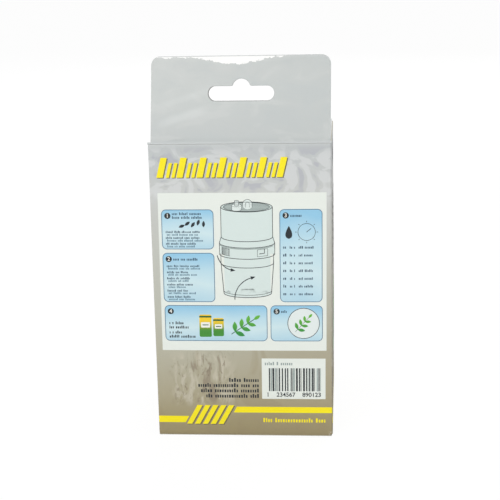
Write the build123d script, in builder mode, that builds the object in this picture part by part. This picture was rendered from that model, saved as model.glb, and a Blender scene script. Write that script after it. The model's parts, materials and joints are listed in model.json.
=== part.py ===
"""A folding carton with a hang tab, and the round insect feeder that it holds.

The printed back faces -Y and the front faces +Y. The origin is at the middle
of the carton's footprint, on the surface that it stands on. All sizes are in
millimetres and all angles in degrees.
"""

from build123d import *
from math import cos, degrees, radians, sin
import os

os.makedirs("parts", exist_ok=True)

# Carton body, measured over the closed board
carton_width = 90.0
carton_depth = 88.0
carton_height = 152.0
board = 0.45
crease_radius = 1.2

# Gaps between boards
crease_gap = 0.1
stack_gap = 0.15
edge_gap = 0.3

# Hang tab, measured from its crease
tab_height = 42.1
tab_lean = 5.0
tab_free_inset = 1.1
tab_crease_inset = 0.4
tab_free_taper = 1.1
tab_crease_taper = 0.2
tab_corner = 4.6

# Hanging slot in the tab
slot_length = 32.0
slot_height = 7.0
slot_rise = 23.9
slot_shift = 0.9
bump_radius = 4.4
bump_rise = 3.5
bump_blend = 0.8

# Lids, tuck flaps and dust flaps at both ends of the carton
lid_side_gap = 0.5
tuck_clearance = 0.55
tuck_length = 15.0
tuck_lean = 8.0
tuck_side_gap = 2.2
tuck_corner = 7.0
flap_reach = 38.0
flap_tuck_gap = 2.4
flap_relief = 10.0
flap_nose = 3.0

# Feeder: how it stands in the carton
feeder_side_gap = 2.3
rest_gap = 0.3
headroom = 8.0

# Lower cup
foot_height = 5.0
foot_inset = 2.0
foot_width = 2.4
cup_wall = 1.6
cup_floor = 1.8
cup_draft = 2.2
lower_height = 60.0
collar_height = 12.0
collar_step = 0.9
neck_height = 13.0

# Bayonet ring and its fit on the lower cup
ring_height = 17.0
ring_wall = 2.4
ring_gap = 0.4
bayonet_count = 3
bayonet_twist = 18.0
lug_arc = 8.0
lug_height = 3.0
lug_reach = 2.2
lug_rise = 5.0
lug_gap = 0.4

# Vent grilles in the ring and the windows in the neck behind them
vent_count = 6
vent_slit = 1.3
vent_pitch = 5.0
vent_height = 7.0

# Upper cup
flare_height = 10.5
shoulder_step = 2.9
spigot_height = 3.0
spigot_gap = 0.1

# Slotted lid
lid_flange = 2.0
lid_recess = 0.8
lid_lip = 2.2
lid_tongue = 4.0
lid_tongue_arc = 30.0
lid_tongue_count = 3
lid_tongue_turn = 90.0
lid_slit = 1.6
lid_slit_rows = 12
lid_slit_margin = 3.0
lid_pad_margin = 1.5

# Hanger eye
eye_height = 11.0
eye_width = 14.0
eye_thickness = 3.0
eye_opening = 6.4
eye_foot = 1.4
eye_foot_spread = 1.6

# Stopper and its tether
hole_radius = 6.0
plug_gap = 0.2
plug_depth = 4.0
cap_radius = 8.0
cap_height = 4.6
grip_radius = 3.4
grip_height = 4.0
stopper_edge_gap = 3.5
stopper_turn = 231.0
tether_thickness = 1.0
tether_width = 4.0
tether_margin = 2.4
anchor_radius = 3.5
anchor_offset = 9.0

# Places worked out from the sizes above
half_width = carton_width / 2
half_depth = carton_depth / 2
half_board = board / 2
crease_round = 0.9 * half_board
lid_level = carton_height - half_board
flap_level = board + stack_gap + half_board
side_end = flap_level + half_board + crease_gap
front_inside = half_depth - board
back_inside = -half_depth + 2 * board
flat_half_width = half_width - crease_radius

top_hinge_y = half_depth - half_board
top_tuck_y = back_inside + tuck_clearance + half_board
bottom_hinge_y = -half_depth + board + half_board
bottom_tuck_y = front_inside - tuck_clearance - half_board

feeder_y = (front_inside + back_inside) / 2
cavity_radius = min(half_width - board, (front_inside - back_inside) / 2)
cavity_top = carton_height - flap_level - half_board
feeder_base = flap_level + half_board + rest_gap
feeder_axis = Axis((0, feeder_y, 0), (0, 0, 1))


def feeder_plane(turn, x=0, y=0):
    """An upright plane, turned about the feeder's axis or one at x, y from it."""
    along = (cos(radians(turn)), sin(radians(turn)), 0)
    across = (sin(radians(turn)), -cos(radians(turn)), 0)
    return Plane(origin=(x, feeder_y + y, 0), x_dir=along, z_dir=across)


def level_plane(height):
    """A level plane with its origin on the feeder's axis."""
    return Plane.XY.offset(height).move(Location((0, feeder_y, 0)))


# Carton walls: the front panel between its two creases
with BuildPart() as front_panel:
    with BuildSketch(Plane.XY):
        with Locations((0, half_depth - half_board)):
            Rectangle(2 * flat_half_width, board)
    extrude(amount=carton_height - board - crease_gap)
front_panel.part.label = "front_panel"
export_step(front_panel.part, "parts/front_panel.step")


def side_panel(side, back_face, name):
    """A side wall with half of each corner crease, between front and back."""
    depth = half_depth - back_face
    with BuildPart() as panel:
        with BuildSketch(Plane.XY.offset(side_end)):
            with Locations((0, half_depth - depth / 2)):
                RectangleRounded(carton_width, depth, crease_radius)
                RectangleRounded(
                    carton_width - 2 * board,
                    depth - 2 * board,
                    crease_radius - board,
                    mode=Mode.SUBTRACT,
                )
            with Locations((side * (half_width - crease_radius / 2), 0)):
                Rectangle(crease_radius, 2 * carton_depth, mode=Mode.INTERSECT)
        extrude(amount=carton_height - 2 * side_end)
    panel.part.label = name
    export_step(panel.part, f"parts/{name}.step")


# The right wall folds into the outer back ply, the left wall into the inner one
side_panel(1, -half_depth, "right_side_panel")
side_panel(-1, -half_depth + board, "left_side_panel")

# Inner back panel: its free edge lies inside the right wall's crease
with BuildPart() as back_panel:
    with BuildSketch(Plane.XY.offset(board + crease_gap)):
        with Locations((-edge_gap / 2, -half_depth + board + half_board)):
            Rectangle(2 * flat_half_width - edge_gap, board)
    extrude(amount=carton_height - board - crease_gap)
back_panel.part.label = "back_panel"
export_step(back_panel.part, "parts/back_panel.step")

# Outer back panel: the printed fifth panel, free at its left edge
outer_back_width = half_width - edge_gap + flat_half_width
with BuildPart() as outer_back_panel:
    with BuildSketch(Plane.XY.offset(board + crease_gap)):
        with Locations((flat_half_width - outer_back_width / 2, -half_depth + half_board)):
            Rectangle(outer_back_width, board)
    extrude(amount=carton_height - board - crease_gap)
outer_back_panel.part.label = "outer_back_panel"
export_step(outer_back_panel.part, "parts/outer_back_panel.step")

# Hang tab: two plies that turn about the crease between them
tab_axis_y = -half_depth + board
tab_axis_z = carton_height + crease_gap + board
tab_plane = Plane(
    origin=(0, tab_axis_y, tab_axis_z),
    x_dir=(1, 0, 0),
    z_dir=(0, -cos(radians(tab_lean)), sin(radians(tab_lean))),
)
slot_top = slot_rise + slot_height / 2


def tab_ply(thickness, name):
    """One ply of the hang tab, with the hanging slot and a rounded crease."""
    left = -half_width + tab_free_inset
    right = half_width - tab_crease_inset
    with BuildPart() as ply:
        with BuildSketch(tab_plane):
            with BuildLine():
                Polyline(
                    (left, -board),
                    (right, -board),
                    (right - tab_crease_taper, tab_height),
                    (left + tab_free_taper, tab_height),
                    close=True,
                )
            outline = make_face()
            fillet(outline.vertices().group_by(Axis.Y)[-1], tab_corner)
        extrude(amount=thickness)
        crease = ply.edges().filter_by(Axis.X).sort_by(Axis.Z)[:2].sort_by(Axis.Y)
        fillet(crease[0] if thickness > 0 else crease[-1], 2 * crease_round)
        with BuildSketch(tab_plane) as slot:
            with Locations((slot_shift, slot_rise)):
                SlotOverall(slot_length, slot_height)
            with Locations((slot_shift, slot_top + bump_rise - bump_radius)):
                Circle(bump_radius)
            shoulders = slot.vertices().group_by(Axis.Y)[-1]
            fillet(shoulders, bump_blend)
        extrude(amount=thickness, mode=Mode.SUBTRACT)
    ply.part.label = name
    export_step(ply.part, f"parts/{name}.step")


tab_ply(board, "hang_tab_outer_ply")
tab_ply(-board, "hang_tab_inner_ply")


def closing_lid(hinge_y, tuck_y, level, name):
    """A lid from its crease on the wall to the crease of its tuck flap."""
    toward = 1 if tuck_y > hinge_y else -1
    start = hinge_y - toward * half_board
    end = tuck_y - toward * (half_board + crease_gap)
    with BuildPart() as lid:
        with BuildSketch(Plane.XY.offset(level)):
            with Locations((0, (start + end) / 2)):
                Rectangle(carton_width - 2 * lid_side_gap, abs(end - start))
        extrude(amount=half_board, both=True)
        crease = lid.edges().filter_by(Axis.X).sort_by(Axis.Y)
        fillet(crease[:2] if toward > 0 else crease[-2:], crease_round)
    lid.part.label = name
    export_step(lid.part, f"parts/{name}.step")


def tuck_flap(tuck_y, level, inward, down, name):
    """The tongue at a lid's free edge, leaning away from the wall it slides down."""
    lean = radians(tuck_lean)
    reach = (0, inward * sin(lean), -down * cos(lean))
    normal = Vector(1, 0, 0).cross(Vector(*reach))
    plane = Plane(origin=(0, tuck_y, level), x_dir=(1, 0, 0), z_dir=normal)
    width = carton_width - 2 * (lid_side_gap + tuck_side_gap)
    with BuildPart() as tuck:
        with BuildSketch(plane):
            with Locations((0, (tuck_length - half_board) / 2)):
                outline = Rectangle(width, tuck_length + half_board)
            fillet(outline.vertices().group_by(Axis.Y)[-1], tuck_corner)
        extrude(amount=half_board, both=True)
        crease = tuck.edges().filter_by(Axis.X).sort_by(Axis.Z)
        fillet(crease[-2:] if down > 0 else crease[:2], crease_round)
    tuck.part.label = name
    export_step(tuck.part, f"parts/{name}.step")


def dust_flap(side, level, hinge_y, tuck_y, name):
    """A flap on a side wall, cut back so that it stays under the opening lid."""
    toward = 1 if tuck_y > hinge_y else -1
    crease_x = side * (half_width - half_board)
    outer_x = crease_x + side * half_board
    inner_x = crease_x - side * flap_reach
    front = hinge_y + toward * (half_board + stack_gap)
    back = tuck_y - toward * flap_tuck_gap
    slope = flap_reach * sin(radians(flap_relief))
    with BuildPart() as flap:
        with BuildSketch(Plane.XY.offset(level)):
            with BuildLine():
                Polyline(
                    (outer_x, front + toward * flap_nose),
                    (crease_x - side * flap_nose, front + toward * 2 * flap_nose),
                    (inner_x, front + toward * (flap_reach + 2 * flap_nose)),
                    (inner_x, back - toward * slope),
                    (outer_x, back),
                    close=True,
                )
            outline = make_face()
            tips = outline.vertices().sort_by(Axis.X)
            fillet(tips[:2] if side > 0 else tips[-2:], flap_nose)
        extrude(amount=half_board, both=True)
        crease = flap.edges().filter_by(Axis.Y).sort_by(Axis.X)
        fillet(crease[-2:] if side > 0 else crease[:2], crease_round)
    flap.part.label = name
    export_step(flap.part, f"parts/{name}.step")


# Top end: the lid hinges on the front panel and tucks in at the back
closing_lid(top_hinge_y, top_tuck_y, lid_level, "top_lid")
tuck_flap(top_tuck_y, lid_level, 1, 1, "top_tuck")
# Bottom end: the lid hinges on the inner back panel and tucks in at the front
closing_lid(bottom_hinge_y, bottom_tuck_y, half_board, "bottom_lid")
tuck_flap(bottom_tuck_y, half_board, -1, -1, "bottom_tuck")
for side, word in ((-1, "left"), (1, "right")):
    dust_flap(side, carton_height - flap_level, top_hinge_y, top_tuck_y, f"top_dust_flap_{word}")
    dust_flap(side, flap_level, bottom_hinge_y, bottom_tuck_y, f"bottom_dust_flap_{word}")

# Feeder radii and levels
ring_radius = cavity_radius - feeder_side_gap
ring_inside = ring_radius - ring_wall
neck_radius = ring_inside - ring_gap
collar_radius = neck_radius + collar_step
cup_top_radius = collar_radius - collar_step
cup_foot_radius = cup_top_radius - cup_draft
foot_radius = cup_foot_radius - foot_inset
foot_top = feeder_base + foot_height
collar_top = feeder_base + lower_height
collar_bottom = collar_top - collar_height
neck_top = collar_top + neck_height
ring_bottom = collar_top + rest_gap
ring_top = ring_bottom + ring_height
plate_top = cavity_top - headroom - eye_height
lid_top = plate_top + lid_recess
rim_level = lid_top - lid_flange
flare_top = ring_top + flare_height
tube_radius = ring_radius - shoulder_step
lug_level = ring_bottom + lug_rise
vent_level = ring_bottom + (ring_height - spigot_height) / 2
vent_span = (vent_count - 1) * vent_pitch
vent_width = neck_radius * radians(vent_span) + vent_slit
third = 360 / bayonet_count


def feeder_place(turn, height):
    """A level place on the feeder's axis, turned about it."""
    return Location((0, feeder_y, height), (0, 0, turn))


# Lower cup: the culture chamber, with a foot ring, a collar and a neck with lugs
with BuildPart() as lower_cup:
    with BuildSketch(feeder_plane(0)):
        with BuildLine():
            Polyline(
                (0, foot_top),
                (foot_radius - foot_width, foot_top),
                (foot_radius - foot_width, feeder_base),
                (foot_radius, feeder_base),
                (foot_radius, foot_top),
                (cup_foot_radius, foot_top),
                (cup_top_radius, collar_bottom),
                (collar_radius, collar_bottom),
                (collar_radius, collar_top),
                (neck_radius, collar_top),
                (neck_radius, neck_top),
                (neck_radius - cup_wall, neck_top),
                (neck_radius - cup_wall, collar_bottom),
                (cup_foot_radius - cup_wall, collar_bottom),
                (cup_foot_radius - cup_wall, foot_top + cup_floor),
                (0, foot_top + cup_floor),
                close=True,
            )
        make_face()
    revolve(axis=feeder_axis)
    for index in range(bayonet_count):
        with BuildSketch(feeder_plane(index * third - lug_arc / 2)):
            with Locations((neck_radius + (lug_reach - cup_wall) / 2, lug_level)):
                Rectangle(lug_reach + cup_wall, lug_height)
        revolve(axis=feeder_axis, revolution_arc=lug_arc)
    for index in range(bayonet_count):
        with Locations(feeder_place((index + 1 / 2) * third, vent_level)):
            with Locations((neck_radius, 0)):
                Box(3 * cup_wall, vent_width, vent_height, mode=Mode.SUBTRACT)
lower_cup.part.label = "lower_cup"
export_step(lower_cup.part, "parts/lower_cup.step")

# Bayonet ring: it drops over the neck and turns until the lugs meet the slot ends
lug_gap_arc = degrees(lug_gap / neck_radius)
entry_arc = lug_arc + 2 * lug_gap_arc
with BuildPart() as bayonet_ring:
    with BuildSketch(feeder_plane(0)):
        with BuildLine():
            Polyline(
                (ring_inside, ring_bottom),
                (ring_radius, ring_bottom),
                (ring_radius, ring_top),
                (ring_inside, ring_top),
                close=True,
            )
        make_face()
    revolve(axis=feeder_axis)
    for index in range(bayonet_count):
        entry_start = index * third - bayonet_twist - entry_arc / 2
        with BuildSketch(feeder_plane(entry_start)):
            with Locations((ring_inside, lug_level)):
                Rectangle(2 * ring_radius - 2 * ring_inside + ring_wall, lug_height + 2 * lug_gap)
        revolve(axis=feeder_axis, revolution_arc=entry_arc + bayonet_twist, mode=Mode.SUBTRACT)
        with BuildSketch(feeder_plane(entry_start)):
            with Locations((ring_inside, (ring_bottom + lug_level) / 2)):
                Rectangle(3 * ring_wall, lug_level - ring_bottom)
        revolve(axis=feeder_axis, revolution_arc=entry_arc, mode=Mode.SUBTRACT)
    for index in range(bayonet_count):
        first_slit = (index + 1 / 2) * third - vent_span / 2
        with Locations(feeder_place(0, vent_level)):
            with PolarLocations(ring_radius, vent_count, first_slit, vent_span, endpoint=True):
                Box(3 * ring_wall, vent_slit, vent_height, mode=Mode.SUBTRACT)
bayonet_ring.part.label = "bayonet_ring"
export_step(bayonet_ring.part, "parts/bayonet_ring.step")

# Upper cup: a spigot in the ring, a flared shoulder and a tube up to the rim
spigot_radius = ring_inside - spigot_gap
with BuildPart() as upper_cup:
    with BuildSketch(feeder_plane(0)):
        with BuildLine():
            Polyline(
                (spigot_radius, ring_top - spigot_height),
                (spigot_radius, ring_top),
                (ring_radius, ring_top),
                (tube_radius, flare_top),
                (tube_radius, rim_level),
                (tube_radius - cup_wall, rim_level),
                (tube_radius - cup_wall, ring_top - spigot_height),
                close=True,
            )
        make_face()
    revolve(axis=feeder_axis)
upper_cup.part.label = "upper_cup"
export_step(upper_cup.part, "parts/upper_cup.step")

# Slotted lid: a recessed plate with slits and the exit hole, and tongues that grip the tube
tongue_radius = tube_radius - cup_wall - spigot_gap
plate_radius = tube_radius - lid_lip
tether_ring = hole_radius + tether_margin
stopper_offset = plate_radius - stopper_edge_gap - tether_ring
stopper_x = stopper_offset * cos(radians(stopper_turn))
stopper_y = stopper_offset * sin(radians(stopper_turn))
anchor_x = anchor_offset * cos(radians(stopper_turn))
anchor_y = anchor_offset * sin(radians(stopper_turn))
slit_radius = tongue_radius - cup_wall - lid_slit_margin
slit_pitch = 2 * slit_radius / (lid_slit_rows + 1)
with BuildPart() as slotted_lid:
    with BuildSketch(feeder_plane(0)):
        with BuildLine():
            Polyline(
                (0, rim_level),
                (tube_radius, rim_level),
                (tube_radius, lid_top),
                (plate_radius, lid_top),
                (plate_radius, plate_top),
                (0, plate_top),
                close=True,
            )
        make_face()
    revolve(axis=feeder_axis)
    for index in range(lid_tongue_count):
        tongue_turn = lid_tongue_turn + index * 360 / lid_tongue_count
        with BuildSketch(feeder_plane(tongue_turn - lid_tongue_arc / 2)):
            with Locations((tongue_radius - cup_wall / 2, rim_level - lid_tongue / 2)):
                Rectangle(cup_wall, lid_tongue)
        revolve(axis=feeder_axis, revolution_arc=lid_tongue_arc)
    with BuildSketch(level_plane(plate_top)):
        with GridLocations(0, slit_pitch, 1, lid_slit_rows):
            Rectangle(2 * slit_radius, lid_slit)
        Circle(slit_radius, mode=Mode.INTERSECT)
        with Locations((stopper_x, stopper_y)):
            Circle(cap_radius + lid_pad_margin, mode=Mode.SUBTRACT)
        with Locations((anchor_x, anchor_y)):
            Circle(anchor_radius + lid_pad_margin, mode=Mode.SUBTRACT)
        Rectangle(
            eye_width + 2 * (eye_foot_spread + lid_pad_margin),
            eye_thickness + 2 * (eye_foot_spread + lid_pad_margin),
            mode=Mode.SUBTRACT,
        )
        with Locations((stopper_x, stopper_y)):
            Circle(hole_radius)
    extrude(amount=rim_level - plate_top, mode=Mode.SUBTRACT)
slotted_lid.part.label = "slotted_lid"
export_step(slotted_lid.part, "parts/slotted_lid.step")

# Hanger eye: an arch on a foot that stands on the lid plate
eye_arch = eye_height - eye_width / 2
with BuildPart() as hanger_eye:
    with BuildSketch(feeder_plane(0)):
        with Locations((0, plate_top)):
            Rectangle(eye_width, eye_arch, align=(Align.CENTER, Align.MIN))
        with Locations((0, plate_top + eye_arch)):
            Circle(eye_width / 2)
        with Locations((0, plate_top)):
            Rectangle(eye_width, eye_height, align=(Align.CENTER, Align.MIN), mode=Mode.INTERSECT)
        with Locations((0, plate_top + eye_foot)):
            Rectangle(eye_opening, eye_arch - eye_foot, align=(Align.CENTER, Align.MIN), mode=Mode.SUBTRACT)
        with Locations((0, plate_top + eye_arch)):
            Circle(eye_opening / 2, mode=Mode.SUBTRACT)
    extrude(amount=eye_thickness / 2, both=True)
    with BuildSketch(level_plane(plate_top)):
        RectangleRounded(eye_width + 2 * eye_foot_spread, eye_thickness + 2 * eye_foot_spread, eye_foot_spread)
    extrude(amount=eye_foot)
hanger_eye.part.label = "hanger_eye"
export_step(hanger_eye.part, "parts/hanger_eye.step")

# Tether strap: a ring round the stopper, a strip and an anchor beside the eye
strip_length = stopper_offset - anchor_offset
with BuildPart() as tether_strap:
    with BuildSketch(level_plane(plate_top)):
        with Locations((stopper_x, stopper_y)):
            Circle(tether_ring)
        with Locations((anchor_x, anchor_y)):
            Circle(anchor_radius)
        with Locations(Location(((stopper_x + anchor_x) / 2, (stopper_y + anchor_y) / 2), stopper_turn)):
            Rectangle(strip_length, tether_width)
        with Locations((stopper_x, stopper_y)):
            Circle(hole_radius, mode=Mode.SUBTRACT)
    extrude(amount=tether_thickness)
tether_strap.part.label = "tether_strap"
export_step(tether_strap.part, "parts/tether_strap.step")

# Stopper: a plug in the exit hole, a cap on the tether ring and a grip post
stopper_axis = Axis((stopper_x, feeder_y + stopper_y, 0), (0, 0, 1))
cap_bottom = plate_top + tether_thickness
plug_radius = hole_radius - plug_gap
with BuildPart() as stopper:
    with BuildSketch(feeder_plane(0, stopper_x, stopper_y)):
        with BuildLine():
            Polyline(
                (0, rim_level - plug_depth),
                (plug_radius, rim_level - plug_depth),
                (plug_radius, cap_bottom),
                (cap_radius, cap_bottom),
                (cap_radius, cap_bottom + cap_height),
                (grip_radius, cap_bottom + cap_height),
                (grip_radius, cap_bottom + cap_height + grip_height),
                (0, cap_bottom + cap_height + grip_height),
                close=True,
            )
        make_face()
    revolve(axis=stopper_axis)
stopper.part.label = "stopper"
export_step(stopper.part, "parts/stopper.step")
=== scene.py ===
# %% [markdown]
# # A hanging carton for an insect feeder
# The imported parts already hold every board, flap and cup of this product at its real size.
# This lesson gives them their looks: coated and bare board, printed fields, worn edges and
# moulded plastic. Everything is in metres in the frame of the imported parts.

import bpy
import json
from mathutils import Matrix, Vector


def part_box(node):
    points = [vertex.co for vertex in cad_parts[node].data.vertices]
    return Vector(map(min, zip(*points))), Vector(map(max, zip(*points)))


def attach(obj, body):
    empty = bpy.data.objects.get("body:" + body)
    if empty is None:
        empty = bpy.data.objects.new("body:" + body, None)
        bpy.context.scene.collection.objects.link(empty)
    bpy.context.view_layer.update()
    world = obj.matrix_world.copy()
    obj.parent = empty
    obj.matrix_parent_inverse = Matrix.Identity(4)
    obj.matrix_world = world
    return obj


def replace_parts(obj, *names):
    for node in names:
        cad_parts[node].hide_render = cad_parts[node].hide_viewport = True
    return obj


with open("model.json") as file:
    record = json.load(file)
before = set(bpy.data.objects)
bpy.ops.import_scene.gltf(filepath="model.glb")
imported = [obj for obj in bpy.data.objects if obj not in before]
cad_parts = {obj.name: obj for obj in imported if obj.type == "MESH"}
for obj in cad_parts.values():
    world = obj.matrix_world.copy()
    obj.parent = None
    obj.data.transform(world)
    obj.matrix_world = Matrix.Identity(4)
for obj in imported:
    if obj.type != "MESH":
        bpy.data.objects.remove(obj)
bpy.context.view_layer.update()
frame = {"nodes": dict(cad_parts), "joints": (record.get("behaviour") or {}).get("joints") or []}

# %% [markdown]
# The print follows the board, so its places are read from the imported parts: the printed
# back faces -Y and the front faces +Y. The artwork was drawn for a carton a little lower
# than this one, so its foot line stands slightly above the floor.

# %% Tools and places used by every later cell
import json
import random
from math import cos, pi, radians, sin

import bmesh
import bpy
from mathutils import Matrix, Vector

MM = 0.001
random.seed(7)
half_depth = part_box("front_panel")[1].y
half_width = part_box("right_side_panel")[1].x
carton_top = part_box("outer_back_panel")[1].z
tab_low, tab_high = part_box("hang_tab_outer_ply")
ARTWORK_RISE = 151.3
artwork_foot = carton_top / MM - ARTWORK_RISE
carton_size = (2 * half_width, 2 * half_depth, carton_top)
print("carton, mm:", *(round(side / MM, 1) for side in carton_size))

# %% [markdown]
# ## Materials
# Shader sums are easier to read as Python arithmetic. A Term wraps a node's output that
# changes over the surface, and each operator on it adds one Math node.

# %% A number that varies over a surface


class Term:
    """A number that changes over the surface, ready for arithmetic."""

    def __init__(self, finish, socket):
        self.finish = finish
        self.socket = socket

    def math(self, operation, other=0.0):
        made = self.finish.node("ShaderNodeMath", {"operation": operation}, {0: self, 1: other})
        return Term(self.finish, made.outputs[0])

    def __add__(self, other):
        return self.math("ADD", other)

    def __mul__(self, other):
        return self.math("MULTIPLY", other)

    def __sub__(self, other):
        return self.math("SUBTRACT", other)

    def __rsub__(self, other):
        return self * -1.0 + other

    def __truediv__(self, other):
        return self.math("DIVIDE", other)

    __radd__ = __add__
    __rmul__ = __mul__

    def size(self):
        """The term without its sign."""
        return self.math("ABSOLUTE")

    def rise(self, start, end):
        """0 before start, 1 after end, and a smooth rise between them."""
        settings = {"interpolation_type": "SMOOTHSTEP"}
        made = self.finish.node("ShaderNodeMapRange", settings, {0: self, 1: start, 2: end})
        return Term(self.finish, made.outputs[0])

    def fall(self, start, end):
        """1 before start, 0 after end, and a smooth fall between them."""
        return 1 - self.rise(start, end)

    def within(self, low, high, soft):
        """1 between low and high, with soft edges that lie inside them."""
        return self.rise(low, low + soft) * self.fall(high - soft, high)


# %% [markdown]
# A Finish is one material. Constant values go straight onto the shader's sockets, and any
# other node comes from its one method `node`.

# %% One material and the nodes behind it


def paint(red, green, blue):
    """A colour given as screen values from 0 to 255, in the linear light that shaders use."""
    shares = [level / 255 for level in (red, green, blue)]
    return [s / 12.92 if s < 0.04045 else ((s + 0.055) / 1.055) ** 2.4 for s in shares] + [1.0]


class Finish:
    """A material with a Principled shader."""

    def __init__(self, name, constants):
        self.material = bpy.data.materials.new(name)
        self.material.use_nodes = True
        self.tree = self.material.node_tree
        self.shader = self.tree.nodes["Principled BSDF"]
        for label, value in constants.items():
            self.shader.inputs[label].default_value = value

    def node(self, kind, settings=None, inputs=None):
        """A new node with its settings, a ramp's stops, and the values or links of its sockets."""
        made = self.tree.nodes.new(kind)
        for label, value in (settings or {}).items():
            if label == "stops":
                ramp = made.color_ramp
                ramp.elements.remove(ramp.elements[1])
                ramp.elements[0].position, ramp.elements[0].color = value[0]
                for position, colour in value[1:]:
                    ramp.elements.new(position).color = colour
            else:
                setattr(made, label, value)
        for label, value in (inputs or {}).items():
            self.feed(made.inputs[label], value)
        return made

    def feed(self, socket, value):
        """Links a term or a node's output to a socket, or sets the socket's value."""
        if isinstance(value, Term):
            value = value.socket
        if isinstance(value, bpy.types.NodeSocket):
            self.tree.links.new(value, socket)
        else:
            socket.default_value = value

    def vary(self, label, value):
        """Feeds one socket of the shader."""
        self.feed(self.shader.inputs[label], value)

    def places(self, output="Object", scale=1 / MM):
        """The three parts of the object's own coordinates, in millimetres, or of its normal."""
        source = self.node("ShaderNodeTexCoord").outputs[output]
        split = self.node("ShaderNodeSeparateXYZ", None, {0: source})
        return [Term(self, part) * scale for part in split.outputs]

    def noise(self, size, stretch=(1, 1, 1), detail=3.0, twist=0.0):
        """Soft noise whose blotches are about size millimetres wide, times stretch."""
        source = self.node("ShaderNodeTexCoord").outputs["Object"]
        scale = [1 / (size * MM * part) for part in stretch]
        mapped = self.node("ShaderNodeMapping", None, {"Vector": source, "Scale": scale})
        inputs = {"Vector": mapped.outputs[0], "Scale": 1.0, "Detail": detail, "Distortion": twist}
        return Term(self, self.node("ShaderNodeTexNoise", None, inputs).outputs[0])

    def mix(self, share, first, second):
        """The first colour where share is 0 and the second where it is 1."""
        settings = {"data_type": "RGBA", "clamp_factor": True}
        made = self.node("ShaderNodeMix", settings, {0: share, 6: first, 7: second})
        return made.outputs[2]

    def layers(self, tone, *coats):
        """Lays colours over a tone, each given as its share and its screen values."""
        for share, *colour in coats:
            tone = self.mix(share, tone, paint(*colour))
        return tone

    def ramp(self, place, stops):
        """A colour for each place, from stops given as a place and screen values."""
        stops = [(stop, paint(*colour)) for stop, *colour in stops]
        return self.node("ShaderNodeValToRGB", {"stops": stops}, {0: place}).outputs[0]

    def relief(self, height, depth):
        """Bump from a term, where a step of 1 is depth millimetres."""
        made = self.node("ShaderNodeBump", None, {"Distance": depth * MM, "Height": height})
        self.vary("Normal", made.outputs[0])


# %% [markdown]
# ## Board
# Retail cartons are thin board, coated and printed on one side and plain on the other, with
# a white core that shows on every cut edge. The print tone here runs from cool grey at the
# top to olive brown at the foot, so it is a ramp on the height, with mottling over it. The
# ramp also holds painted shade along the foot and beside the tab's crease, and a painted
# highlight on the crease.
# Two yellow stripes run round the foot. Each face repeats them, so they follow the travel
# across a face, which the object's own normal gives. The narrow walls get painted shade,
# stronger towards the foot, and their stripes change places further to the right.

# %% Tones of the printed board by height
TONES_TOP = 200.0
# Besides the print, the stops paint light: the lowest stop darkens the foot edge as painted shade,
# and the stops from 147 to 155 mm paint shade on the wall top and the tab's foot, with a painted
# highlight on the crease between them.
print_and_shade_tones = [
    (0.0, 142, 130, 98), (1.2, 153, 141, 107), (9.0, 159, 148, 115), (22.0, 171, 163, 137),
    (40.0, 180, 176, 156), (62.0, 187, 187, 173), (90.0, 192, 193, 184), (125.0, 198, 200, 197),
    (147.0, 191, 195, 195), (149.4, 188, 192, 192), (150.3, 192, 196, 195), (151.0, 194, 198, 198),
    (151.6, 206, 210, 210), (152.2, 196, 200, 200), (152.9, 185, 190, 189), (154.8, 194, 198, 197),
    (172.0, 199, 203, 201), (196.0, 204, 207, 205),
]
YELLOW = (251, 233, 18)
STRIPE_LOW = (6.35, 10.0)
STRIPE_HIGH = (12.0, 15.35)
STRIPE_MIDDLE = 10.9
STRIPE_SLANT = 0.55
STRIPE_ENDS = (-28.3, -6.5)
SIDE_SHIFT = 36.0
BOARD_RELIEF = 0.25
FIBRE_SHARE = 0.03


def mottled(finish, tone, x, z):
    """Adds rough bark tones low on the left and soft clouds under the top edge."""
    bark = finish.noise(5.4, (1, 1, 2.6), 4.0, 1.2)
    bark_field = z.within(14.0, 46.5, 6.0) * x.within(-40.0, -2.0, 9.0)
    seam = finish.noise(2.2, (1, 1, 3.2), 5.0, 1.6).rise(0.59, 0.67)
    patch = finish.noise(17.0, (1, 1, 1.3), 2.0, 1.0).rise(0.52, 0.66)
    cloud = finish.noise(17.0, (1.2, 1, 0.9), 2.4, 2.4)
    cloud_field = z.within(120.0, 152.5, 7.0)
    return finish.layers(
        tone,
        (bark.rise(0.49, 0.62) * bark_field * 0.75, 199, 193, 175),
        (bark.fall(0.38, 0.47) * bark_field * 0.72, 142, 130, 112),
        (seam * bark_field * 0.70, 126, 113, 94),
        (patch * z.fall(46.0, 56.0) * 0.30, 150, 136, 106),
        (cloud.rise(0.50, 0.58) * cloud_field * 0.62, 214, 216, 216),
        (cloud.fall(0.38, 0.46) * cloud_field * 0.66, 174, 176, 184),
    )


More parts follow.
